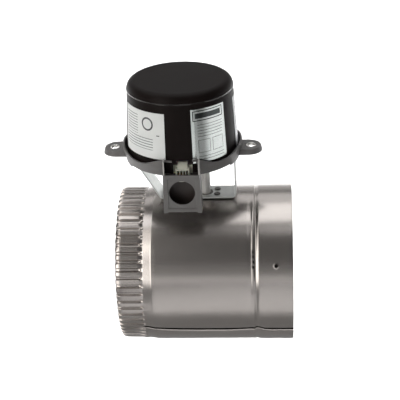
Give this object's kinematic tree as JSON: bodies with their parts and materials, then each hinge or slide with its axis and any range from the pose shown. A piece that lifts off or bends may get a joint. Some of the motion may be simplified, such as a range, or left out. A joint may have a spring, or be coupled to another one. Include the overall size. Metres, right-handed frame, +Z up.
{
  "type": "vent damper",
  "caption": "Round vent pipe with a turning blade on an upright shaft, driven by a domed motor operator on a bent strap bracket.",
  "frame": {"origin": "centre of the plain end's mouth, on the pipe axis", "axes": "+X along the pipe out of the plain end, +Z up along the shaft towards the operator, -Y towards the viewer of the picture"},
  "size_m": [0.1819, 0.1548, 0.2815],
  "materials": {
    "aluminised_sheet": "satin",
    "blade_sheet": "satin",
    "shaft_steel": "satin",
    "screw_steel": "satin",
    "clip_steel": "satin",
    "zinc_strap": "zinc plated, satin",
    "bushing_nylon": "matte",
    "tray_plastic": "fine grained",
    "cover_plastic": "satin",
    "label_paper": "satin",
    "label_foil": "glossy",
    "socket_nylon": "smooth",
    "contact_brass": "dull",
    "lead_insulation": "smooth",
    "brass_posts": "turned",
    "motor_steel": "zinc plated",
    "case_zinc": "die cast, dull",
    "gear_acetal": "smooth",
    "cam_plastic": "smooth",
    "switch_plastic": "smooth",
    "spring_steel": "bright",
    "button_plastic": "smooth",
    "board_laminate": "glossy coat",
    "relay_plastic": "smooth",
    "capacitor_sleeve": "glossy"
  },
  "bodies": {
    "operator": {"vent_pipe": "aluminised_sheet", "upper_bushing": "bushing_nylon", "lower_bushing": "bushing_nylon", "bracket": "zinc_strap", "bracket_rivets": "zinc_strap", "base_tray": "tray_plastic", "bracket_screws": "screw_steel", "floor_bushing": "bushing_nylon", "ear_eyelets": "screw_steel", "cover": "cover_plastic", "cover_screws": "screw_steel", "paper_label": "label_paper", "metal_label": "label_foil", "side_label": "label_paper", "harness_socket": "socket_nylon", "socket_pins": "contact_brass", "harness_leads": "lead_insulation", "motor_plate": "motor_steel", "plate_posts": "brass_posts", "post_screws": "screw_steel", "motor_case": "case_zinc", "motor_can": "motor_steel", "motor_screws": "screw_steel", "closed_switch": "switch_plastic", "open_switch": "switch_plastic", "switch_screws": "screw_steel", "circuit_board": "board_laminate", "board_standoffs": "brass_posts", "board_screws": "screw_steel", "relay": "relay_plastic", "capacitors": "capacitor_sleeve", "lead_header": "socket_nylon"},
    "blade": {"damper_blade": "blade_sheet", "pilot_plug": "blade_sheet", "damper_shaft": "shaft_steel", "blade_screws": "screw_steel", "retaining_clip": "clip_steel", "drive_gear": "gear_acetal", "cross_pin": "clip_steel", "switch_cam": "cam_plastic"},
    "pinion": {"motor_pinion": "gear_acetal"},
    "closed_lever_arm": {"closed_lever": "spring_steel"},
    "open_lever_arm": {"open_lever": "spring_steel"},
    "closed_plunger": {"closed_button": "button_plastic"},
    "open_plunger": {"open_button": "button_plastic"}
  },
  "joints": [
    {"name": "blade_turn", "type": "hinge", "parent": "operator", "child": "blade", "pos_m": [-0.0845, 0, 0], "axis": [0, 0, 1], "range_deg": [0, 90]},
    {"name": "pinion_turn", "type": "hinge", "parent": "operator", "child": "pinion", "pos_m": [-0.1049, 0.0199, 0.1345], "axis": [0, 0, 1], "range_deg": [-195.1, 0]},
    {"name": "closed_lever_tilt", "type": "hinge", "parent": "operator", "child": "closed_lever_arm", "pos_m": [-0.09965, -0.0087, 0.1264], "axis": [0, 0, 1], "range_deg": [-8, 0]},
    {"name": "open_lever_tilt", "type": "hinge", "parent": "operator", "child": "open_lever_arm", "pos_m": [-0.0932, 0.01515, 0.1264], "axis": [0, 0, 1], "range_deg": [0, 8]},
    {"name": "closed_button_slide", "type": "slide", "parent": "operator", "child": "closed_plunger", "axis": [1, 0, 0], "range_m": [0, 0.001]},
    {"name": "open_button_slide", "type": "slide", "parent": "operator", "child": "open_plunger", "axis": [0, 1, 0], "range_m": [0, 0.001]}
  ],
  "couplings": [
    {"joint": "pinion_turn", "follows": "blade_turn", "ratio": -2.1667},
    {"joint": "closed_lever_tilt", "follows": "blade_turn", "ratio": -0.088888},
    {"joint": "open_lever_tilt", "follows": "blade_turn", "ratio": 0.088888},
    {"joint": "closed_button_slide", "follows": "blade_turn", "m_per_rad": 0.0006366},
    {"joint": "open_button_slide", "follows": "blade_turn", "m_per_rad": 0.0006366}
  ]
}
